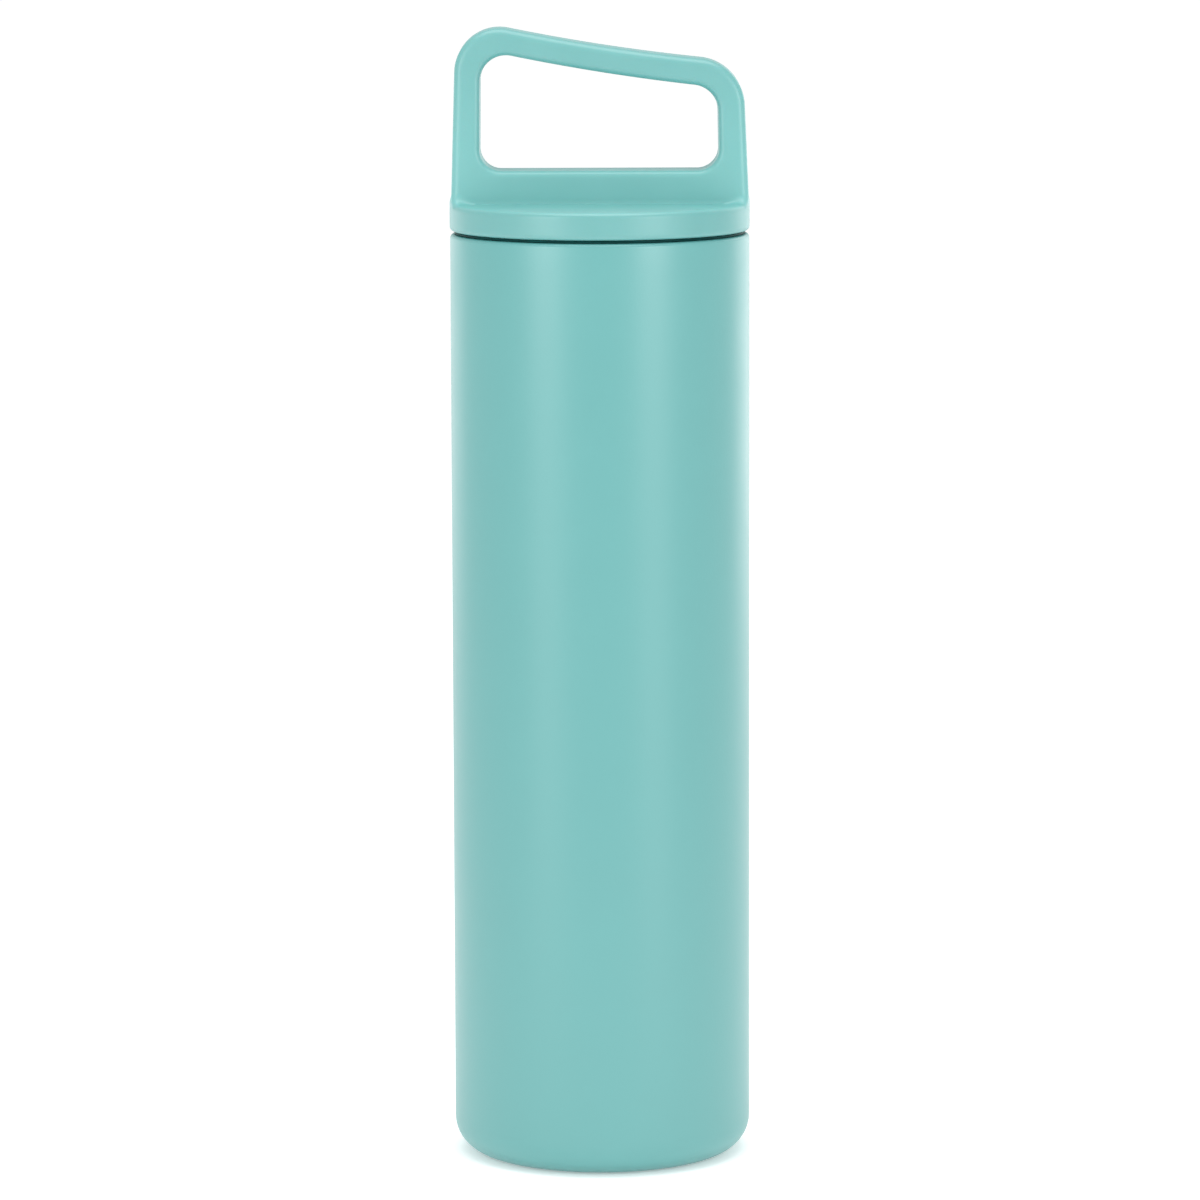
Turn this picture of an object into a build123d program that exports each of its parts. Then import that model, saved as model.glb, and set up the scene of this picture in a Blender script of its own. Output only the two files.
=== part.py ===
from build123d import *
import os

# Slim vacuum-insulated drinking bottle with a screw-in lid and a rigid loop handle.
# Millimetres. Z is the bottle's axis, up. The origin is at the centre of the base.
# The loop handle lies in the XZ plane, and its high side is at -X.

# Body
body_radius = 35.5
body_top = 221.5
base_corner_radius = 8.4
rim_edge_radius = 1.0
rim_joint = 218.0
shell_wall = 0.6
foot_ring_width = 3.2
foot_fold_radius = 1.8
foot_upstand_top = 5.0

# Base discs
base_plate_height = 4.4
base_plate_wall = 0.6
base_plate_skirt_bottom = 2.6
dimple_radius = 6.0
dimple_slope = 1.0
dimple_height = 1.2
vacuum_hole_radius = 1.0
seal_bead_radius = 4.0
seal_bead_height = 0.9
cover_bottom = 1.2
cover_wall = 0.6
cover_rim_top = 3.8
cover_corner_radius = 1.4
cover_clearance = 0.05

# Inner vessel
liner_radius = 32.0
liner_wall = 0.5
liner_floor_bottom = 9.6
liner_corner_radius = 7.0
liner_weld_height = 22.0
shoulder_bottom = 198.0
shoulder_bend_radius = 6.0
neck_bottom = 207.0
neck_bore_radius = 28.4
rim_weld_radius = 30.2
rim_bend_radius = 0.8
foil_gap = 0.05
foil_thickness = 0.15
foil_bottom = 24.0
foil_top = 194.0

# Getter, the pellet that keeps the vacuum clean, and its spot-welded clip
getter_x = 13.0
getter_radius = 4.0
getter_height = 1.6
clip_strip = 0.3
clip_width = 5.0
clip_wing = 3.0
clip_play = 0.05

# Thread between the neck and the plug: right-handed, single start
thread_lead = 6.0
thread_turns = 1.5
thread_base_width = 2.4
thread_crest_width = 1.2
thread_sink = 0.25
neck_thread_crest_radius = 27.1
neck_thread_start = 208.5
plug_thread_crest_radius = 27.95
plug_thread_start = 206.5

# Lid
collar_radius = 35.6
collar_bottom = 222.2
collar_top = 228.7
collar_lower_edge_radius = 1.1
collar_rim_radius = 1.8
collar_recess_radius = 33.0
collar_plate = 2.2
plug_radius = 26.6
plug_wall = 1.7
plug_floor = 2.0
plug_bottom = 204.5
plug_edge_radius = 1.0
plug_flange_radius = 32.8
plug_flange = 1.9
foam_clearance = 0.1

# Gasket between the lid and the rim
gasket_gap = 0.1
gasket_inner_radius = 26.9
gasket_bead_radius = 30.8
gasket_lip_radius = 34.5
gasket_edge_radius = 0.15

# Loop handle. Its outlines are (x, z), with the corners as sharp crossings before rounding.
handle_thickness = 13.5
handle_edge_radius = 3.0
window_edge_radius = 2.0
handle_root = 226.6
outline_foot_left = (-35.2, handle_root)
outline_high_corner = (-33.85, 272.7)
outline_top_middle = (1.5, 265.85)
outline_low_corner = (33.95, 262.0)
outline_foot_right = (35.45, handle_root)
outline_high_radius = 10.6
outline_low_radius = 11.5
window_bottom = 236.65
window_foot_left = (-28.3, window_bottom)
window_high_corner = (-28.05, 265.25)
window_top_middle = (-0.8, 260.0)
window_low_corner = (27.95, 256.15)
window_foot_right = (28.3, window_bottom)
window_high_radius = 7.0
window_low_radius = 6.3
window_foot_radius = 5.0


def turned(*corners):
    """A solid of revolution about Z. Each corner of its outline is (radius, height, rounding)."""
    points = [(radius, height) for radius, height, rounding in corners]
    roundings = [rounding for radius, height, rounding in corners]
    outline = FilletPolyline(*points, radius=roundings, close=True)
    return revolve(make_face(Plane.XZ * outline), axis=Axis.Z)


def thread_rib(root_radius, crest_radius, start_height):
    """A helical rib of trapezoid section, its foot sunk a little into the wall it stands on."""
    depth = crest_radius - root_radius
    sink = thread_sink if depth > 0 else -thread_sink
    foot_radius = root_radius - sink
    foot_width = thread_base_width + (thread_base_width - thread_crest_width) * sink / depth
    section = make_face(
        Plane.XZ
        * Polyline(
            (foot_radius, start_height - foot_width / 2),
            (foot_radius, start_height + foot_width / 2),
            (crest_radius, start_height + thread_crest_width / 2),
            (crest_radius, start_height - thread_crest_width / 2),
            close=True,
        )
    )
    path = Pos(0, 0, start_height) * Helix(
        thread_lead, thread_lead * thread_turns, crest_radius
    )
    return sweep(section, path=path, is_frenet=True)


def outer_shell():
    """The coated steel body: a tube, open above, with its foot rolled in."""
    foot_outer = body_radius - base_corner_radius
    foot_inner = foot_outer - foot_ring_width
    inner_fold = foot_fold_radius - shell_wall
    return turned(
        (body_radius, 0, base_corner_radius),
        (body_radius, rim_joint, 0),
        (body_radius - shell_wall, rim_joint, 0),
        (body_radius - shell_wall, shell_wall, base_corner_radius - shell_wall),
        (foot_inner + shell_wall, shell_wall, inner_fold),
        (foot_inner + shell_wall, foot_upstand_top, 0),
        (foot_inner, foot_upstand_top, 0),
        (foot_inner, 0, foot_fold_radius),
    )


def outer_rim():
    """The pressed ring welded on the body's tube and to the liner's lip: the bottle's flat rim."""
    return turned(
        (body_radius, rim_joint, 0),
        (body_radius, body_top, rim_edge_radius),
        (rim_weld_radius, body_top, 0),
        (rim_weld_radius, body_top - shell_wall, 0),
        (body_radius - shell_wall, body_top - shell_wall, rim_edge_radius - shell_wall),
        (body_radius - shell_wall, rim_joint, 0),
    )


def outer_base():
    """The pressed disc welded into the rolled foot, with the dimple of the pump-out hole."""
    edge = body_radius - base_corner_radius - foot_ring_width
    bottom = base_plate_height
    top = bottom + base_plate_wall
    bend = 2 * base_plate_wall
    return turned(
        (vacuum_hole_radius, bottom + dimple_height, 0),
        (dimple_radius, bottom + dimple_height, base_plate_wall),
        (dimple_radius + dimple_slope, bottom, base_plate_wall),
        (edge - base_plate_wall, bottom, bend - base_plate_wall),
        (edge - base_plate_wall, base_plate_skirt_bottom, 0),
        (edge, base_plate_skirt_bottom, 0),
        (edge, top, bend),
        (dimple_radius + dimple_slope + base_plate_wall / 2, top, base_plate_wall),
        (dimple_radius + base_plate_wall / 2, top + dimple_height, base_plate_wall),
        (vacuum_hole_radius, top + dimple_height, 0),
    )


def vacuum_seal():
    """The fused bead that closes the pump-out hole: a low button with a short stem."""
    seat = base_plate_height + dimple_height
    stem_top = seat + base_plate_wall / 2
    return turned(
        (0, seat - seal_bead_height, 0),
        (seal_bead_radius, seat - seal_bead_height, seal_bead_height / 2),
        (seal_bead_radius, seat, 0),
        (vacuum_hole_radius, seat, 0),
        (vacuum_hole_radius, stem_top, 0),
        (0, stem_top, 0),
    )


def base_cover():
    """The shallow steel cup pressed into the base to hide the weld and the dimple."""
    edge = body_radius - base_corner_radius - foot_ring_width - base_plate_wall - cover_clearance
    inner_bend = cover_corner_radius - cover_wall
    return turned(
        (0, cover_bottom, 0),
        (edge, cover_bottom, cover_corner_radius),
        (edge, cover_rim_top, 0),
        (edge - cover_wall, cover_rim_top, 0),
        (edge - cover_wall, cover_bottom + cover_wall, inner_bend),
        (0, cover_bottom + cover_wall, 0),
    )


def inner_liner():
    """The drinking vessel's tube: straight wall, shoulder, threaded neck and welded lip."""
    neck_outer = neck_bore_radius + liner_wall
    bore = liner_radius - liner_wall
    bend = shoulder_bend_radius
    tube = turned(
        (liner_radius, liner_weld_height, 0),
        (liner_radius, shoulder_bottom, bend),
        (neck_outer, neck_bottom, bend),
        (neck_outer, body_top - shell_wall, rim_bend_radius),
        (rim_weld_radius, body_top - shell_wall, 0),
        (rim_weld_radius, body_top, 0),
        (neck_bore_radius, body_top, rim_bend_radius),
        (neck_bore_radius, neck_bottom, bend),
        (bore, shoulder_bottom, bend),
        (bore, liner_weld_height, 0),
    )
    return tube + thread_rib(neck_bore_radius, neck_thread_crest_radius, neck_thread_start)


def liner_bottom():
    """The drawn cup welded to the bottom of the liner's tube."""
    return turned(
        (0, liner_floor_bottom, 0),
        (liner_radius, liner_floor_bottom, liner_corner_radius),
        (liner_radius, liner_weld_height, 0),
        (liner_radius - liner_wall, liner_weld_height, 0),
        (
            liner_radius - liner_wall,
            liner_floor_bottom + liner_wall,
            liner_corner_radius - liner_wall,
        ),
        (0, liner_floor_bottom + liner_wall, 0),
    )


def foil_wrap():
    """The reflective foil sleeve round the liner, inside the vacuum."""
    inner = liner_radius + foil_gap
    return turned(
        (inner, foil_bottom, 0),
        (inner, foil_top, 0),
        (inner + foil_thickness, foil_top, 0),
        (inner + foil_thickness, foil_bottom, 0),
    )


def getter():
    """The pressed pellet under the liner's floor."""
    centre_height = liner_floor_bottom - clip_play - getter_height / 2
    return Pos(getter_x, 0, centre_height) * Cylinder(getter_radius, getter_height)


def getter_clip():
    """The strip that holds the pellet: a pocket with a wing on each side, welded to the floor."""
    pocket = getter_radius + clip_play
    outer = pocket + clip_strip
    floor = liner_floor_bottom - getter_height - 2 * clip_play
    top = liner_floor_bottom
    strip = make_face(
        Plane.XZ
        * Polyline(
            (-outer - clip_wing, top),
            (-pocket, top),
            (-pocket, floor),
            (pocket, floor),
            (pocket, top),
            (outer + clip_wing, top),
            (outer + clip_wing, top - clip_strip),
            (outer, top - clip_strip),
            (outer, floor - clip_strip),
            (-outer, floor - clip_strip),
            (-outer, top - clip_strip),
            (-outer - clip_wing, top - clip_strip),
            close=True,
        )
    )
    return Pos(getter_x, 0, 0) * extrude(strip, clip_width / 2, both=True)


def rim_gasket():
    """The dark silicone ring: a bead over the rim, with a thin lip that shows in the seam."""
    bottom = body_top + gasket_gap
    lip_top = collar_bottom - gasket_gap
    bead_top = collar_top - collar_plate - plug_flange - gasket_gap
    return turned(
        (gasket_inner_radius, bottom, gasket_edge_radius),
        (gasket_lip_radius, bottom, gasket_edge_radius),
        (gasket_lip_radius, lip_top, gasket_edge_radius),
        (gasket_bead_radius, lip_top, 0),
        (gasket_bead_radius, bead_top, gasket_edge_radius),
        (gasket_inner_radius, bead_top, gasket_edge_radius),
    )


def ring_outline(foot_left, high_corner, top_middle, low_corner, foot_right, high_r, low_r, foot_r):
    """A face in the XZ plane under a slightly hollow sloping top, with its corners rounded."""
    outline = [
        Line(foot_right, foot_left),
        Line(foot_left, high_corner),
        ThreePointArc(high_corner, top_middle, low_corner),
        Line(low_corner, foot_right),
    ]
    face = make_face(outline)
    by_height = face.vertices().sort_by(Axis.Y)
    face = fillet(by_height[-1], high_r)
    face = fillet(face.vertices().sort_by_distance(low_corner)[0], low_r)
    if foot_r:
        for foot in (foot_left, foot_right):
            face = fillet(face.vertices().sort_by_distance(foot)[0], foot_r)
    return Plane.XZ * face


def loop_handle():
    """The slab of the handle with its finger window, all its long edges rounded."""
    outer = ring_outline(
        outline_foot_left,
        outline_high_corner,
        outline_top_middle,
        outline_low_corner,
        outline_foot_right,
        outline_high_radius,
        outline_low_radius,
        0,
    )
    window = ring_outline(
        window_foot_left,
        window_high_corner,
        window_top_middle,
        window_low_corner,
        window_foot_right,
        window_high_radius,
        window_low_radius,
        window_foot_radius,
    )
    slab = extrude(outer, handle_thickness / 2, both=True)
    outer_edges = [edge for edge in slab.faces().sort_by(Axis.Y)[0].outer_wire().edges()]
    outer_edges += [edge for edge in slab.faces().sort_by(Axis.Y)[-1].outer_wire().edges()]
    root_edges = slab.edges().filter_by(Axis.X)
    slab = fillet([edge for edge in outer_edges if edge not in root_edges], handle_edge_radius)
    slab -= extrude(window, handle_thickness, both=True)
    window_edges = []
    for side in (0, -1):
        window_edges += slab.faces().filter_by(Axis.Y).sort_by(Axis.Y)[side].inner_wires()[0].edges()
    return fillet(window_edges, window_edge_radius)


def handle_cap():
    """The moulded lid top: the collar, hollow underneath, with the loop handle in one piece."""
    plate_bottom = collar_top - collar_plate
    collar = turned(
        (0, plate_bottom, 0),
        (collar_recess_radius, plate_bottom, 0),
        (collar_recess_radius, collar_bottom, 0),
        (collar_radius, collar_bottom, collar_lower_edge_radius),
        (collar_radius, collar_top, collar_rim_radius),
        (0, collar_top, 0),
    )
    return collar + loop_handle()


def thread_plug():
    """The moulded plug: a flanged cup, closed below, with the thread round it."""
    flange_top = collar_top - collar_plate
    cup = turned(
        (0, plug_bottom, 0),
        (plug_radius, plug_bottom, plug_edge_radius),
        (plug_radius, flange_top - plug_flange, 0),
        (plug_flange_radius, flange_top - plug_flange, 0),
        (plug_flange_radius, flange_top, 0),
        (plug_radius - plug_wall, flange_top, 0),
        (plug_radius - plug_wall, plug_bottom + plug_floor, plug_edge_radius),
        (0, plug_bottom + plug_floor, 0),
    )
    return cup + thread_rib(plug_radius, plug_thread_crest_radius, plug_thread_start)


def foam_insert():
    """The insulating foam disc that fills the plug."""
    radius = plug_radius - plug_wall - foam_clearance
    return turned(
        (0, plug_bottom + plug_floor + foam_clearance, 0),
        (radius, plug_bottom + plug_floor + foam_clearance, plug_edge_radius),
        (radius, collar_top - collar_plate - foam_clearance, 0),
        (0, collar_top - collar_plate - foam_clearance, 0),
    )


nodes = [
    outer_shell,
    outer_rim,
    outer_base,
    vacuum_seal,
    base_cover,
    inner_liner,
    liner_bottom,
    foil_wrap,
    getter,
    getter_clip,
    rim_gasket,
    handle_cap,
    thread_plug,
    foam_insert,
]

os.makedirs("parts", exist_ok=True)
for make_node in nodes:
    export_step(make_node(), os.path.join("parts", make_node.__name__ + ".step"))
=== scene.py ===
import math

import bmesh
import bpy
import numpy as np
from mathutils import Matrix, Vector


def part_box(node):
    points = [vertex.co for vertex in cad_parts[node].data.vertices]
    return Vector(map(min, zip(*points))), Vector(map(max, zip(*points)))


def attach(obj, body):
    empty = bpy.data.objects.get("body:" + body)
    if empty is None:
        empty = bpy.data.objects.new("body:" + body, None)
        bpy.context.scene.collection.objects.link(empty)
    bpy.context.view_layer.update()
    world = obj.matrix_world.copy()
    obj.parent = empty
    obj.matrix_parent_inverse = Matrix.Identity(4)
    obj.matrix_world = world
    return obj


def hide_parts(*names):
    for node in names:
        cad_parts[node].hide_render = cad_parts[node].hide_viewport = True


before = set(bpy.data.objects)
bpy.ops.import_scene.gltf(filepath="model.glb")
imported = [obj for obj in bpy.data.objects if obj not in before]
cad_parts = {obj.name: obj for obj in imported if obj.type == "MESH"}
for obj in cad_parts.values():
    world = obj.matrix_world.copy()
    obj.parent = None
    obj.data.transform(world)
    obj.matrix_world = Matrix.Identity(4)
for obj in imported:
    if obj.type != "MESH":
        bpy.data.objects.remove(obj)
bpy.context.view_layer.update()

MM = 0.001

# Camera, in metres and degrees. It looks straight at the handle's broad side, a little from above.
# Its lens and sensor are in millimetres, and its shift is a share of the frame's width.
CAMERA_DISTANCE = 1.4389
CAMERA_HEIGHT = 0.32766
CAMERA_AZIMUTH = 0.0
CAMERA_TILT = 7.683
CAMERA_ROLL = -0.18
CAMERA_SHIFT = -0.0007
CAMERA_LENS = 181.98
CAMERA_SENSOR = 36.0

# Shape of the pieces, in millimetres. Overall radii and heights are read from the frame's boxes.
BASE_CORNER_RADIUS = 8.4
RIM_EDGE_RADIUS = 1.0
SHELL_WALL = 0.6
FOOT_RING_WIDTH = 3.2
FOOT_FOLD_RADIUS = 1.8
FOOT_UPSTAND_TOP = 5.0
COVER_WALL = 0.6
COVER_CORNER_RADIUS = 1.4
RIM_WELD_RADIUS = 30.2
GASKET_BORE_RADIUS = 26.9
GASKET_RING_RADIUS = 30.8
GASKET_LIP_HEIGHT = 0.5
GASKET_EDGE_RADIUS = 0.15
COLLAR_TOP = 228.7
COLLAR_LOWER_EDGE_RADIUS = 1.1
COLLAR_RIM_RADIUS = 1.0
COLLAR_RECESS_RADIUS = 33.0
COLLAR_RECESS_TOP = 226.5
RECESS_EDGE_RADIUS = 0.3
HANDLE_THICKNESS = 13.5
HANDLE_EDGE_RADIUS = 1.8
WINDOW_EDGE_RADIUS = 1.5

# The handle's ends follow the collar's round side at the collar's top, and their own outline from a
# height up. The edge radius changes within a distance of the collar's top, and the fillet at the
# handle's foot grows by the root blend over a range of |x|.
HANDLE_FLUSH_TOP = 231.4
EDGE_CHANGE = 2.0
CREASE_RADIUS = 0.35
ROOT_BLEND = 3.0
ROOT_BLEND_RANGE = (29.0, 35.0)

# Spacing of the grid that the lid's surface is found on.
LID_GRID = 0.5

# Handle outlines (x, z): foot left, high corner, a point on the hollow top, low corner, foot right.
OUTER_LOOP = ((-35.76, 207.6), (-33.85, 272.7), (1.5, 265.85), (33.95, 262.0), (36.26, 207.6))
OUTER_RADII = (10.6, 11.5, 0.0)
WINDOW_LOOP = ((-28.3, 236.65), (-28.05, 265.25), (-0.8, 260.0), (27.95, 256.15), (28.3, 236.65))
WINDOW_RADII = (6.1, 6.3, 5.0)
FAR_AWAY = 1e6

# Vertices nearer than this are one vertex, and edges with a wider angle are sharp. Metres and degrees.
SAME_PLACE = 1e-7
SHARP_ANGLE = 40


def unit(vector):
    return vector / np.linalg.norm(vector)


def circle_through(first, middle, last):
    """Centre and radius of the circle through three points."""
    rows = np.array([middle - first, last - first])
    right = np.array([middle @ middle - first @ first, last @ last - first @ first]) / 2
    centre = np.linalg.solve(rows, right)
    return centre, np.linalg.norm(centre - first)


def rounded_loop(corners, radii):
    """Tangent lines and arcs of a loop with a hollow top. Returns a list of lines and a list of arcs.

    A line is (start, end) with the material on its right. An arc is (centre, radius, middle
    direction, half angle, sign), and the sign is +1 where the material is inside the arc.
    """
    foot_left, high, middle, low, foot_right = (np.array(corner) for corner in corners)
    high_radius, low_radius, foot_radius = radii
    top_centre, top_radius = circle_through(high, middle, low)
    lines = []
    arcs = []
    top_ends = []
    leg_ends = []
    for foot, corner, radius, turn in (
        (foot_left, high, high_radius, 1),
        (foot_right, low, low_radius, -1),
    ):
        along = unit(corner - foot)
        inward = turn * np.array([along[1], -along[0]])
        start = foot + inward * radius - top_centre
        down = start @ along
        travel = -down - math.sqrt(down * down - start @ start + (top_radius + radius) ** 2)
        centre = top_centre + start + travel * along
        on_leg = centre - inward * radius
        on_top = top_centre + unit(centre - top_centre) * top_radius
        arcs.append(arc_between(centre, on_leg, on_top, 1))
        leg_ends.append(on_leg)
        top_ends.append(on_top)
    arcs.append(arc_between(top_centre, top_ends[0], top_ends[1], -1))
    feet = []
    for foot, other, leg_end, turn in (
        (foot_left, foot_right, leg_ends[0], 1),
        (foot_right, foot_left, leg_ends[1], -1),
    ):
        along = unit(leg_end - foot)
        inward = turn * np.array([along[1], -along[0]])
        across = unit(other - foot)
        half_turn = (math.pi - math.acos(along @ across)) / 2
        setback = foot_radius * math.tan(half_turn)
        leg_start = foot + along * setback
        floor_start = foot + across * setback
        if foot_radius:
            arcs.append(arc_between(leg_start + inward * foot_radius, leg_start, floor_start, 1))
        lines.append((leg_start, leg_end) if turn == 1 else (leg_end, leg_start))
        feet.append(floor_start)
    lines.append((feet[1], feet[0]))
    return lines, arcs


def arc_between(centre, start, end, sign):
    """The arc round a centre from one point to another, as rounded_loop describes it."""
    first = unit(start - centre)
    last = unit(end - centre)
    middle = unit(first + last)
    half_angle = math.acos(np.clip(first @ middle, -1, 1))
    return centre, np.linalg.norm(start - centre), middle, half_angle, sign


def loop_distance(x, z, loop):
    """Signed distance to a rounded loop in the XZ plane: negative inside."""
    lines, arcs = loop
    best = np.full(np.broadcast(x, z).shape, FAR_AWAY)
    signed = best.copy()
    for start, end in lines:
        run = end - start
        length = np.linalg.norm(run)
        run = run / length
        along = np.clip((x - start[0]) * run[0] + (z - start[1]) * run[1], 0, length)
        away = np.hypot(x - start[0] - along * run[0], z - start[1] - along * run[1])
        side = (z - start[1]) * run[0] - (x - start[0]) * run[1]
        nearer = away < best
        best = np.where(nearer, away, best)
        signed = np.where(nearer, np.where(side > 0, away, -away), signed)
    for centre, radius, middle, half_angle, sign in arcs:
        reach = np.hypot(x - centre[0], z - centre[1])
        facing = (x - centre[0]) * middle[0] + (z - centre[1]) * middle[1]
        within = facing >= reach * math.cos(half_angle)
        away = np.abs(reach - radius)
        nearer = within & (away < best)
        best = np.where(nearer, away, best)
        signed = np.where(nearer, sign * (reach - radius), signed)
    return signed


def both(a, b, radius):
    """The overlap of two fields, with the edge between them rounded to a radius."""
    flat = np.minimum(-radius, np.maximum(a, b))
    return flat + np.hypot(np.maximum(radius + a, 0), np.maximum(radius + b, 0))


def ease(value, low, high):
    """0 below a range, 1 above it, and a smooth step between."""
    t = np.clip((value - low) / (high - low), 0, 1)
    return t * t * (3 - 2 * t)


def lid_field(x, y, z, shape):
    """Signed distance to the moulded lid, near its surface, in millimetres."""
    outer = loop_distance(x, z, shape["outer"])
    window = loop_distance(x, z, shape["window"])
    radius = np.hypot(x, y)
    flush = ease(z, COLLAR_TOP, HANDLE_FLUSH_TOP)
    side = (1 - flush) * (radius - shape["collar_radius"]) + flush * outer
    proud = np.abs(y) - HANDLE_THICKNESS / 2
    above = z - COLLAR_TOP
    crease = CREASE_RADIUS + ROOT_BLEND * ease(np.abs(x), *ROOT_BLEND_RANGE)
    pocket = both(-proud, -above, crease)
    on_handle = ease(z, COLLAR_TOP - EDGE_CHANGE, COLLAR_TOP + EDGE_CHANGE)
    edge_radius = COLLAR_RIM_RADIUS + (HANDLE_EDGE_RADIUS - COLLAR_RIM_RADIUS) * on_handle
    field = both(side, -pocket, edge_radius)
    field = both(field, -window, WINDOW_EDGE_RADIUS)
    field = both(field, shape["collar_bottom"] - z, COLLAR_LOWER_EDGE_RADIUS)
    recess = np.maximum(radius - COLLAR_RECESS_RADIUS, z - COLLAR_RECESS_TOP)
    return both(field, -recess, RECESS_EDGE_RADIUS)


def surface_net(values, origin, step):
    """Vertices and quads of the zero surface of a grid of values, one vertex in each cell it crosses."""
    inside = values < 0
    cells = tuple(size - 1 for size in values.shape)
    total = np.zeros((*cells, 3))
    count = np.zeros(cells)
    quads = []
    for axis in range(3):
        lower = [slice(None)] * 3
        upper = [slice(None)] * 3
        lower[axis] = slice(0, -1)
        upper[axis] = slice(1, None)
        crossing = inside[tuple(lower)] != inside[tuple(upper)]
        index = np.argwhere(crossing)
        low_value = values[tuple(lower)][crossing]
        high_value = values[tuple(upper)][crossing]
        point = index.astype(float)
        point[:, axis] += low_value / (low_value - high_value)
        first, second = [other for other in range(3) if other != axis]
        ring = []
        for back_first, back_second in ((0, 0), (1, 0), (1, 1), (0, 1)):
            cell = index.copy()
            cell[:, first] -= back_first
            cell[:, second] -= back_second
            np.add.at(total, tuple(cell.T), point)
            np.add.at(count, tuple(cell.T), 1)
            ring.append(cell)
        ring = np.stack(ring, axis=1)
        # The ring's normal points up the axis, or down it for Y, as the other two stay in order.
        outward = (low_value < 0) == (axis != 1)
        ring[~outward] = ring[~outward][:, ::-1]
        quads.append(ring)
    used = count > 0
    number = np.full(cells, -1)
    number[used] = np.arange(used.sum())
    vertices = origin + step * total[used] / count[used][:, None]
    quads = np.concatenate(quads)
    return vertices, number[quads[..., 0], quads[..., 1], quads[..., 2]]


def settle(vertices, field, rounds):
    """Moves each vertex onto the field's zero surface, along the field's slope."""
    small = 0.01
    least_slope = 0.2
    most_move = 0.25
    for _ in range(rounds):
        value = field(*vertices.T)
        slope = np.empty_like(vertices)
        for axis in range(3):
            shift = np.zeros(3)
            shift[axis] = small
            slope[:, axis] = (field(*(vertices + shift).T) - field(*(vertices - shift).T)) / (2 * small)
        size = np.maximum((slope * slope).sum(axis=1), least_slope)
        vertices = vertices - np.clip(value / size, -most_move, most_move)[:, None] * slope
    return vertices


def lid_mesh():
    """Vertices in metres and faces of the lid. The grid's layers lie half a step off the collar's top."""
    low, high = (np.array(corner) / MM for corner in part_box("handle_cap"))
    shape = {
        "outer": rounded_loop(OUTER_LOOP, OUTER_RADII),
        "window": rounded_loop(WINDOW_LOOP, WINDOW_RADII),
        "collar_radius": max(high[0], high[1]),
        "collar_bottom": low[2],
    }
    half = LID_GRID * (math.ceil(high[1] / LID_GRID) + 2)
    bottom = COLLAR_TOP - LID_GRID * (math.ceil((COLLAR_TOP - low[2]) / LID_GRID) + 1.5)
    across = np.arange(-half, half + LID_GRID / 2, LID_GRID)
    up = np.arange(bottom, high[2] + 2 * LID_GRID, LID_GRID)

    def field(x, y, z):
        return lid_field(x, y, z, shape)

    values = field(across[:, None, None], across[None, :, None], up[None, None, :])
    vertices, quads = surface_net(values, np.array([-half, -half, bottom]), LID_GRID)
    vertices = settle(vertices, field, rounds=4)
    return vertices * MM, quads


def rounded_profile(corners, bend=6.0):
    """A closed outline (radius, height) from corners (radius, height, rounding)."""
    points = []
    for i, (r, z, rounding) in enumerate(corners):
        corner = np.array([r, z])
        before = np.array(corners[i - 1][:2])
        after = np.array(corners[(i + 1) % len(corners)][:2])
        if not rounding:
            points.append(corner)
            continue
        back = unit(before - corner)
        forth = unit(after - corner)
        half = math.acos(np.clip(back @ forth, -1, 1)) / 2
        centre = corner + unit(back + forth) * rounding / math.sin(half)
        start = corner + back * rounding / math.tan(half) - centre
        end = corner + forth * rounding / math.tan(half) - centre
        turn = math.pi - 2 * half
        steps = max(3, math.ceil(math.degrees(turn) / bend))
        for step in range(steps + 1):
            t = step / steps
            spoke = math.sin((1 - t) * turn) * start + math.sin(t * turn) * end
            points.append(centre + spoke / math.sin(turn))
    return points


def finer(points, longest):
    """The same closed outline with no straight run longer than a length."""
    result = []
    for point, after in zip(points, points[1:] + points[:1]):
        pieces = max(1, math.ceil(np.linalg.norm(after - point) / longest))
        result += [point + (after - point) * piece / pieces for piece in range(pieces)]
    return result


def spun_mesh(points, segments):
    """Vertices in metres and faces of an outline turned about Z. Points on the axis become one vertex."""
    angles = np.arange(segments) * 2 * math.pi / segments
    vertices = []
    rings = []
    for r, z in points:
        if r < 1e-6:
            rings.append([len(vertices)] * segments)
            vertices.append((0, 0, z * MM))
            continue
        rings.append(list(range(len(vertices), len(vertices) + segments)))
        vertices += [(r * MM * math.cos(a), r * MM * math.sin(a), z * MM) for a in angles]
    faces = []
    for ring, after in zip(rings, rings[1:] + rings[:1]):
        for i in range(segments):
            j = (i + 1) % segments
            corners = [ring[i], ring[j], after[j], after[i]]
            face = [corner for k, corner in enumerate(corners) if corner != corners[k - 1]]
            if len(face) > 2:
                faces.append(face)
    return vertices, faces


def add_piece(name, vertices, faces, body, nodes, slot, material):
    """A smooth-shaded closed mesh, facing outward, that rides a body and stands for CAD nodes."""
    mesh = bpy.data.meshes.new(name)
    mesh.from_pydata([tuple(vertex) for vertex in vertices], [], [tuple(map(int, face)) for face in faces])
    shape = bmesh.new()
    shape.from_mesh(mesh)
    bmesh.ops.remove_doubles(shape, verts=shape.verts, dist=SAME_PLACE)
    if shape.calc_volume(signed=True) < 0:
        bmesh.ops.reverse_faces(shape, faces=shape.faces)
    shape.to_mesh(mesh)
    shape.free()
    mesh.shade_smooth()
    mesh.set_sharp_from_angle(angle=math.radians(SHARP_ANGLE))
    mesh.materials.append(material)
    piece = bpy.data.objects.new(name, mesh)
    bpy.context.scene.collection.objects.link(piece)
    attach(piece, body)
    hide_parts(*nodes)


def node_box(node):
    """Outer radius, lowest height and highest height of a turned CAD node, in millimetres."""
    low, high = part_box(node)
    return max(high.x, high.y) / MM, low.z / MM, high.z / MM


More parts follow.
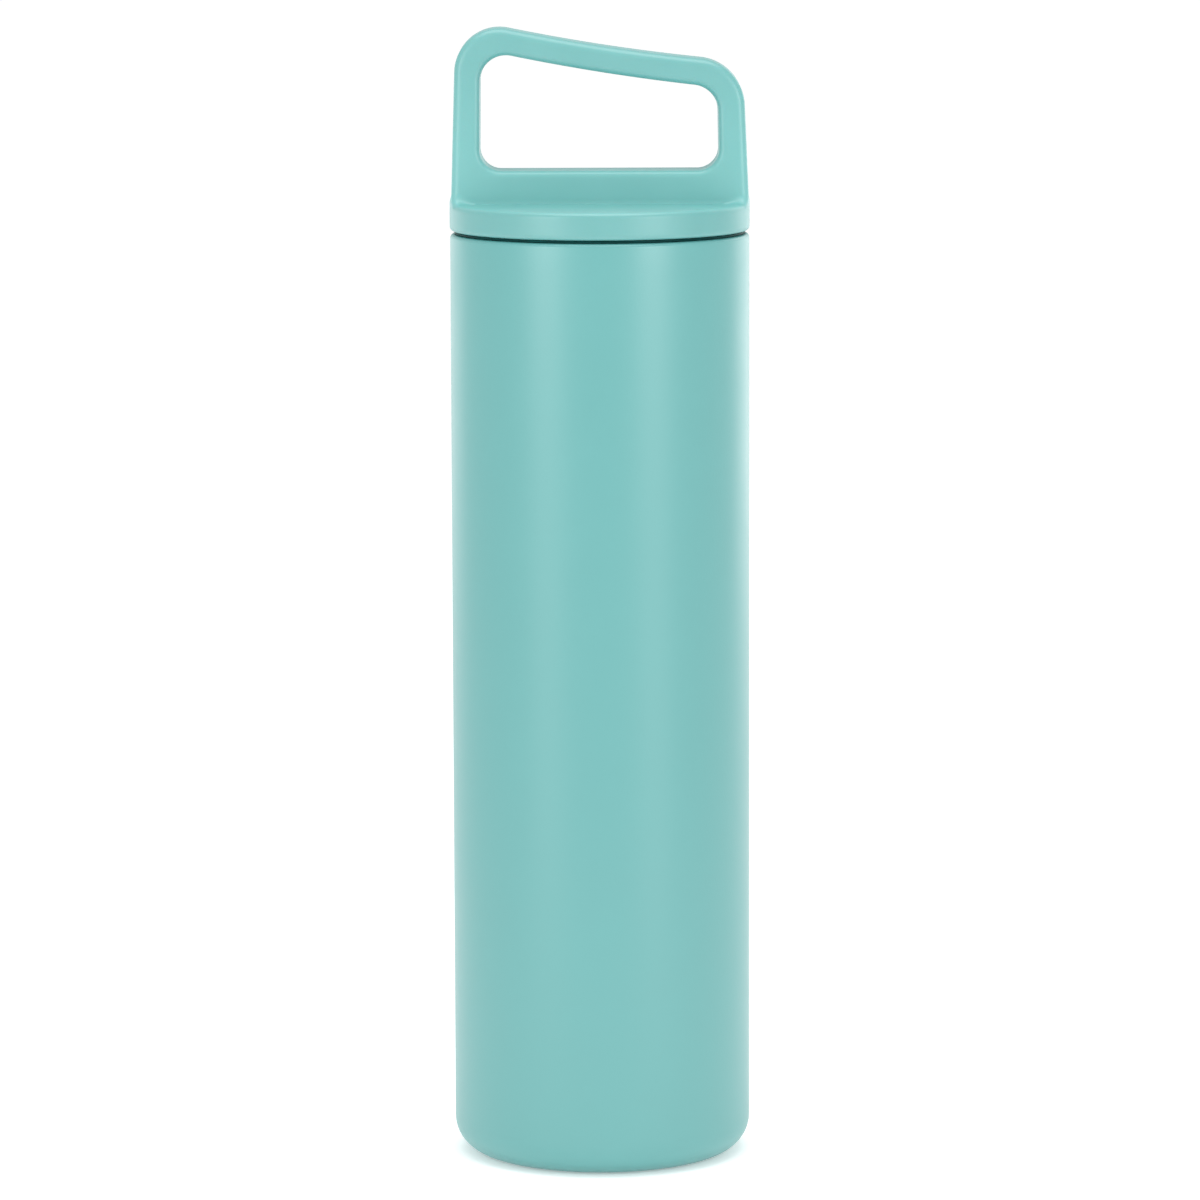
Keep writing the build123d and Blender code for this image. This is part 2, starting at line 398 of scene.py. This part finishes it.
def shell_profile():
    radius, bottom, _ = node_box("outer_shell")
    top = node_box("outer_rim")[2]
    inner = radius - SHELL_WALL
    foot = radius - BASE_CORNER_RADIUS - FOOT_RING_WIDTH
    return rounded_profile(
        (
            (radius, bottom, BASE_CORNER_RADIUS),
            (radius, top, RIM_EDGE_RADIUS),
            (RIM_WELD_RADIUS, top, 0),
            (RIM_WELD_RADIUS, top - SHELL_WALL, 0),
            (inner, top - SHELL_WALL, RIM_EDGE_RADIUS - SHELL_WALL),
            (inner, bottom + SHELL_WALL, BASE_CORNER_RADIUS - SHELL_WALL),
            (foot + SHELL_WALL, bottom + SHELL_WALL, FOOT_FOLD_RADIUS - SHELL_WALL),
            (foot + SHELL_WALL, FOOT_UPSTAND_TOP, 0),
            (foot, FOOT_UPSTAND_TOP, 0),
            (foot, bottom, FOOT_FOLD_RADIUS),
        )
    )


def cover_profile():
    radius, bottom, top = node_box("base_cover")
    return rounded_profile(
        (
            (0, bottom, 0),
            (radius, bottom, COVER_CORNER_RADIUS),
            (radius, top, 0),
            (radius - COVER_WALL, top, 0),
            (radius - COVER_WALL, bottom + COVER_WALL, COVER_CORNER_RADIUS - COVER_WALL),
            (0, bottom + COVER_WALL, 0),
        )
    )


def gasket_profile():
    radius, bottom, top = node_box("rim_gasket")
    lip_top = bottom + GASKET_LIP_HEIGHT
    return rounded_profile(
        (
            (GASKET_BORE_RADIUS, bottom, GASKET_EDGE_RADIUS),
            (radius, bottom, GASKET_EDGE_RADIUS),
            (radius, lip_top, GASKET_EDGE_RADIUS),
            (GASKET_RING_RADIUS, lip_top, 0),
            (GASKET_RING_RADIUS, top, GASKET_EDGE_RADIUS),
            (GASKET_BORE_RADIUS, top, GASKET_EDGE_RADIUS),
        )
    )


class Finish:
    """A material, with short calls to add and join its nodes."""

    def __init__(self, name):
        self.material = bpy.data.materials.new(name)
        self.material.use_nodes = True
        self.tree = self.material.node_tree
        self.shader = self.tree.nodes["Principled BSDF"]
        self.place = self.add("ShaderNodeTexCoord").outputs["Object"]

    def add(self, kind, inputs=None, **settings):
        node = self.tree.nodes.new(kind)
        for name, value in settings.items():
            setattr(node, name, value)
        for name, value in (inputs or {}).items():
            if isinstance(value, bpy.types.NodeSocket):
                self.tree.links.new(value, node.inputs[name])
            else:
                node.inputs[name].default_value = value
        return node

    def set(self, **values):
        """Sets the shader's own inputs. Underscores in a name stand for spaces."""
        for name, value in values.items():
            socket = self.shader.inputs[name.replace("_", " ")]
            if isinstance(value, bpy.types.NodeSocket):
                self.tree.links.new(value, socket)
            else:
                socket.default_value = value

    def math(self, operation, a, b=0.0, clamp=False):
        node = self.add("ShaderNodeMath", {0: a, 1: b}, operation=operation, use_clamp=clamp)
        return node.outputs[0]

    def noise(self, size, detail=2.0, rough=0.5, vector=None):
        """Noise from 0 to 1 whose lumps are about a size across, in metres."""
        node = self.add(
            "ShaderNodeTexNoise",
            {"Vector": vector or self.place, "Scale": 1 / size, "Detail": detail, "Roughness": rough},
        )
        return node.outputs[0]

    def cells(self, size, feature="F1"):
        node = self.add("ShaderNodeTexVoronoi", {"Vector": self.place, "Scale": 1 / size}, feature=feature)
        return node.outputs["Distance"]

    def stretched(self, x, y, z):
        """Object coordinates scaled along each axis."""
        node = self.add("ShaderNodeMapping", {"Vector": self.place, "Scale": (x, y, z)})
        return node.outputs["Vector"]

    def axes(self):
        return self.add("ShaderNodeSeparateXYZ", {"Vector": self.place}).outputs

    def radius(self):
        x, y, _ = self.axes()
        return self.math("SQRT", self.math("ADD", self.math("MULTIPLY", x, x), self.math("MULTIPLY", y, y)))

    def turned_lines(self, pitch):
        """Noise that varies only with the distance from the Z axis: lathe and spinning marks."""
        vector = self.add("ShaderNodeCombineXYZ", {"X": self.radius()}).outputs[0]
        return self.noise(pitch, 3.0, 0.6, vector)

    def between(self, value, low, high, start=0.0, end=1.0):
        node = self.add(
            "ShaderNodeMapRange",
            {"Value": value, "From Min": low, "From Max": high, "To Min": start, "To Max": end},
        )
        return node.outputs[0]

    def mix(self, factor, a, b):
        """A blend of two colours, each a socket or three numbers."""
        first, second = ((*color, 1) if isinstance(color, tuple) else color for color in (a, b))
        node = self.add("ShaderNodeMix", {"Factor": factor, 6: first, 7: second}, data_type="RGBA")
        return node.outputs[2]

    def bump(self, height, depth, normal=None):
        """A bump whose full height range is a depth in metres."""
        inputs = {"Height": height, "Strength": 1.0, "Distance": depth}
        if normal:
            inputs["Normal"] = normal
        return self.add("ShaderNodeBump", inputs).outputs["Normal"]


def tint(color, factor):
    return tuple(channel * factor for channel in color)


def powder_coat():
    """Satin powder coat: fine orange peel, faint mottling, a little rubbed on the foot."""
    coat = Finish("powder_coat")
    color = (0.091, 0.332, 0.323)
    height = coat.axes()[2]
    peel = coat.noise(0.00055, 2.0, 0.5)
    grain = coat.noise(0.00016, 1.0, 0.5)
    cloud = coat.noise(0.014, 3.0, 0.55)
    foot_rub = coat.between(height, 0.0012, 0.0, 0.0, 1.0)
    scuffs = coat.between(coat.noise(0.0015, 4.0, 0.7), 0.50, 0.62)
    rub = coat.math("MULTIPLY", foot_rub, scuffs, clamp=True)
    base = coat.mix(cloud, tint(color, 0.975), tint(color, 1.025))
    speck = coat.between(grain, 0.35, 0.65, 0.0, 1.0)
    base = coat.mix(coat.math("MULTIPLY", speck, 0.5), base, tint(color, 1.03))
    base = coat.mix(coat.math("MULTIPLY", rub, 0.35), base, (0.42, 0.63, 0.62))
    rough = coat.between(cloud, 0.3, 0.7, 0.335, 0.365)
    rough = coat.math("SUBTRACT", rough, coat.math("MULTIPLY", rub, 0.12))
    normal = coat.bump(peel, 0.000016)
    normal = coat.bump(grain, 0.000004, normal)
    coat.set(Base_Color=base, Roughness=rough, Normal=normal)
    coat.set(IOR=1.5, Specular_IOR_Level=1.0)
    return coat.material


def lid_plastic():
    """Moulded polypropylene: fine spark texture, faint flow clouds, a parting line on the handle.

    Its tone is painted light and shade by height: darkest on the collar's side, lightest on the collar's
    top and low on the handle, and between the two at the handle's top.
    """
    lid = Finish("lid_plastic")
    # Painted shade and light: the collar's darker tone, the lighter tone low on the handle and on the
    # collar's top, and the handle's top between the two.
    collar_painted_shade = (0.110, 0.345, 0.334)
    low_painted_light = (0.142, 0.415, 0.402)
    top_painted_shade = (0.118, 0.358, 0.348)
    _, y, z = lid.axes()
    spark = lid.noise(0.00022, 3.0, 0.6)
    flow = lid.noise(0.010, 3.0, 0.5, lid.stretched(1.0, 1.0, 0.45))
    seam = lid.between(lid.math("ABSOLUTE", y), 0.00005, 0.00016, 1.0, 0.0)
    on_handle = lid.between(z, 0.2292, 0.2302)
    seam = lid.math("MULTIPLY", seam, on_handle)
    # Painted light and shade by height, blended from the collar's top up the handle.
    color = lid.mix(lid.between(z, 0.2280, 0.2286), collar_painted_shade, low_painted_light)
    color = lid.mix(lid.between(z, 0.240, 0.262), color, top_painted_shade)
    base = lid.mix(lid.math("MULTIPLY", flow, 0.09), color, (0.4, 0.7, 0.7))
    rough = lid.between(flow, 0.3, 0.7, 0.36, 0.41)
    normal = lid.bump(spark, 0.000012)
    normal = lid.bump(seam, 0.00004, normal)
    lid.set(Base_Color=base, Roughness=rough, Normal=normal)
    lid.set(IOR=1.49, Specular_IOR_Level=0.8, Subsurface_Weight=0.06, Subsurface_Scale=0.002)
    return lid.material


def plug_plastic():
    """The plug's paler plastic, with faint turned lines."""
    plug = Finish("plug_plastic")
    color = (0.186, 0.515, 0.495)
    flow = plug.noise(0.008, 3.0, 0.5)
    lines = plug.turned_lines(0.00035)
    base = plug.mix(flow, tint(color, 0.96), tint(color, 1.03))
    rough = plug.between(flow, 0.3, 0.7, 0.34, 0.42)
    normal = plug.bump(lines, 0.000004)
    normal = plug.bump(plug.noise(0.00025, 2.0), 0.000008, normal)
    plug.set(Base_Color=base, Roughness=rough, Normal=normal)
    plug.set(IOR=1.49, Subsurface_Weight=0.06, Subsurface_Scale=0.002)
    return plug.material


def silicone():
    """Dark silicone rubber with a dusty matt bloom."""
    rubber = Finish("silicone")
    color = (0.001, 0.040, 0.038)
    bloom = rubber.noise(0.004, 4.0, 0.6)
    fine = rubber.noise(0.00030, 2.0)
    base = rubber.mix(rubber.between(bloom, 0.45, 0.75), color, tint(color, 1.7))
    rough = rubber.between(bloom, 0.3, 0.7, 0.46, 0.58)
    rubber.set(Base_Color=base, Roughness=rough, Normal=rubber.bump(fine, 0.000006))
    rubber.set(IOR=1.41, Specular_IOR_Level=0.12)
    return rubber.material


def spun_steel():
    """Bare stainless on the base: spinning marks about the axis, light handling scratches."""
    steel = Finish("bare_steel")
    lines = steel.turned_lines(0.00022)
    broad = steel.turned_lines(0.0025)
    stain = steel.noise(0.009, 4.0, 0.6)
    scratches = steel.noise(0.00035, 2.0, 0.6, steel.stretched(0.06, 1.0, 1.0))
    scratches = steel.between(scratches, 0.66, 0.72)
    base = steel.mix(stain, (0.50, 0.49, 0.475), (0.60, 0.595, 0.58))
    rough = steel.between(lines, 0.3, 0.7, 0.24, 0.38)
    rough = steel.math("ADD", rough, steel.math("MULTIPLY", scratches, 0.12))
    normal = steel.bump(lines, 0.000006)
    normal = steel.bump(broad, 0.000012, normal)
    normal = steel.bump(scratches, 0.000003, normal)
    steel.set(Base_Color=base, Roughness=rough, Normal=normal)
    steel.set(Metallic=1.0, Anisotropic=0.45)
    return steel.material


def liner_steel():
    """Electropolished stainless inside the bottle: satin, with faint lines up the wall."""
    steel = Finish("liner_steel")
    drawn = steel.noise(0.00045, 3.0, 0.6, steel.stretched(1.0, 1.0, 0.03))
    etch = steel.noise(0.00012, 2.0)
    tone = steel.noise(0.012, 3.0)
    base = steel.mix(tone, (0.56, 0.555, 0.545), (0.63, 0.625, 0.61))
    rough = steel.between(drawn, 0.3, 0.7, 0.17, 0.27)
    normal = steel.bump(drawn, 0.000006)
    normal = steel.bump(etch, 0.000002, normal)
    steel.set(Base_Color=base, Roughness=rough, Normal=normal)
    steel.set(Metallic=1.0)
    return steel.material


def crinkled_foil():
    """Bright foil with sharp folds and a finer crumple."""
    foil = Finish("foil")
    folds = foil.cells(0.009, "DISTANCE_TO_EDGE")
    crumple = foil.noise(0.003, 3.0, 0.6)
    base = foil.mix(crumple, (0.80, 0.80, 0.79), (0.90, 0.90, 0.90))
    rough = foil.between(crumple, 0.3, 0.7, 0.14, 0.26)
    normal = foil.bump(folds, 0.0006)
    normal = foil.bump(crumple, 0.0002, normal)
    foil.set(Base_Color=base, Roughness=rough, Normal=normal)
    foil.set(Metallic=1.0)
    return foil.material


def getter_powder():
    """Pressed dark metal powder with a grainy face."""
    pellet = Finish("getter_pellet")
    grains = pellet.cells(0.00018)
    tone = pellet.noise(0.0012, 3.0)
    base = pellet.mix(tone, (0.05, 0.05, 0.052), (0.11, 0.108, 0.105))
    pellet.set(Base_Color=base, Roughness=pellet.between(tone, 0.3, 0.7, 0.68, 0.82))
    pellet.set(Normal=pellet.bump(grains, 0.00006), Metallic=0.6)
    return pellet.material


def sealing_glass():
    """The fused bead: grey-brown glass solder with small bubbles."""
    bead = Finish("seal_bead")
    bubbles = bead.cells(0.0006)
    tone = bead.noise(0.0016, 3.0)
    base = bead.mix(tone, (0.075, 0.065, 0.055), (0.15, 0.135, 0.12))
    bead.set(Base_Color=base, Roughness=bead.between(tone, 0.3, 0.7, 0.10, 0.26))
    bead.set(Normal=bead.bump(bubbles, 0.00005), IOR=1.6)
    return bead.material


def insulating_foam():
    """Pale matt foam with open pores."""
    foam = Finish("foam")
    pores = foam.cells(0.0007)
    tone = foam.noise(0.005, 3.0)
    base = foam.mix(tone, (0.70, 0.69, 0.65), (0.82, 0.81, 0.77))
    foam.set(Base_Color=base, Roughness=foam.between(pores, 0.1, 0.6, 0.95, 0.80))
    foam.set(Normal=foam.bump(pores, 0.00025))
    return foam.material


def dress(node, material):
    """Gives a CAD node its material."""
    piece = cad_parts[node]
    piece.data.materials.clear()
    piece.data.materials.append(material)


def add_camera():
    """The scene's camera, on a circle about the Z axis and aimed inward and down."""
    data = bpy.data.cameras.new("camera")
    data.sensor_width = CAMERA_SENSOR
    data.lens = CAMERA_LENS
    data.shift_x = CAMERA_SHIFT
    data.clip_start = 0.05
    data.clip_end = 50.0
    camera = bpy.data.objects.new("camera", data)
    azimuth = math.radians(CAMERA_AZIMUTH)
    across = CAMERA_DISTANCE * math.sin(azimuth)
    back = -CAMERA_DISTANCE * math.cos(azimuth)
    aim = (
        Matrix.Rotation(azimuth, 4, "Z")
        @ Matrix.Rotation(math.radians(90 - CAMERA_TILT), 4, "X")
        @ Matrix.Rotation(math.radians(CAMERA_ROLL), 4, "Z")
    )
    camera.matrix_world = Matrix.Translation((across, back, CAMERA_HEIGHT)) @ aim
    bpy.context.scene.collection.objects.link(camera)
    bpy.context.scene.camera = camera


def add_world(strength):
    """Even white light from all round."""
    world = bpy.data.worlds.new("studio")
    world.use_nodes = True
    background = world.node_tree.nodes["Background"]
    background.inputs["Color"].default_value = (1, 1, 1, 1)
    background.inputs["Strength"].default_value = strength
    bpy.context.scene.world = world


def add_softbox(name, azimuth, distance, height, size, power, tilt=0.0):
    """A rectangular area light that faces the Z axis, tilted down. Azimuth is as the camera's."""
    data = bpy.data.lights.new(name, "AREA")
    data.shape = "RECTANGLE"
    data.size, data.size_y = size
    data.energy = power
    light = bpy.data.objects.new(name, data)
    angle = math.radians(azimuth)
    place = Vector((distance * math.sin(angle), -distance * math.cos(angle), height))
    turn = Matrix.Rotation(angle, 4, "Z") @ Matrix.Rotation(math.radians(90 - tilt), 4, "X")
    light.matrix_world = Matrix.Translation(place) @ turn
    bpy.context.scene.collection.objects.link(light)


def add_floor(glow, half=20):
    """A wide white floor. It also fills the background, since the camera looks down."""
    corners = [(-half, -half, 0), (half, -half, 0), (half, half, 0), (-half, half, 0)]
    mesh = bpy.data.meshes.new("floor")
    mesh.from_pydata(corners, [], [(0, 1, 2, 3)])
    floor = bpy.data.objects.new("floor", mesh)
    bpy.context.scene.collection.objects.link(floor)
    paper = Finish("floor_paper")
    tone = paper.noise(0.08, 2.0)
    paper.set(Base_Color=paper.mix(tone, (0.93, 0.93, 0.93), (0.95, 0.95, 0.95)))
    paper.set(Normal=paper.bump(paper.noise(0.002, 2.0), 0.00002))
    paper.set(Roughness=0.9, Specular_IOR_Level=0.0, Emission_Strength=glow)
    paper.set(Emission_Color=(1, 1, 1, 1))
    mesh.materials.append(paper.material)


coat = powder_coat()
plastic = lid_plastic()
bare = spun_steel()
rubber = silicone()
liner = liner_steel()
dress("outer_base", bare)
dress("vacuum_seal", sealing_glass())
dress("inner_liner", liner)
dress("liner_bottom", liner)
dress("foil_wrap", crinkled_foil())
dress("getter", getter_powder())
dress("getter_clip", bare)
dress("thread_plug", plug_plastic())
dress("foam_insert", insulating_foam())

shell = spun_mesh(finer(shell_profile(), longest=6.0), segments=288)
base_disc = spun_mesh(finer(cover_profile(), longest=2.0), segments=192)
rim_seal = spun_mesh(gasket_profile(), segments=256)
add_piece("shell", *shell, "bottle", ("outer_shell", "outer_rim"), "body_coat", coat)
add_piece("base_disc", *base_disc, "bottle", ("base_cover",), "bare_steel", bare)
add_piece("rim_seal", *rim_seal, "gasket", ("rim_gasket",), "silicone", rubber)
add_piece("lid_top", *lid_mesh(), "lid", ("handle_cap",), "lid_plastic", plastic)

add_camera()
add_world(0.80)
add_softbox("key_left", -40, 0.45, 0.29, (0.18, 0.18), 0.42)
add_softbox("key_right", 40, 0.45, 0.29, (0.18, 0.18), 0.42)
add_softbox("low_left", -40, 0.45, 0.06, (0.18, 0.20), 0.09)
add_softbox("low_right", 40, 0.45, 0.06, (0.18, 0.20), 0.09)
add_softbox("rim_left", -147, 1.2, 0.15, (0.8, 0.6), 1.0)
add_softbox("rim_right", 145, 1.2, 0.30, (0.8, 1.0), 3.0)
add_softbox("top", 0, 0.12, 0.85, (0.7, 0.5), 2.9, tilt=82)
add_floor(0.27)
bpy.context.scene.view_settings.view_transform = "Standard"
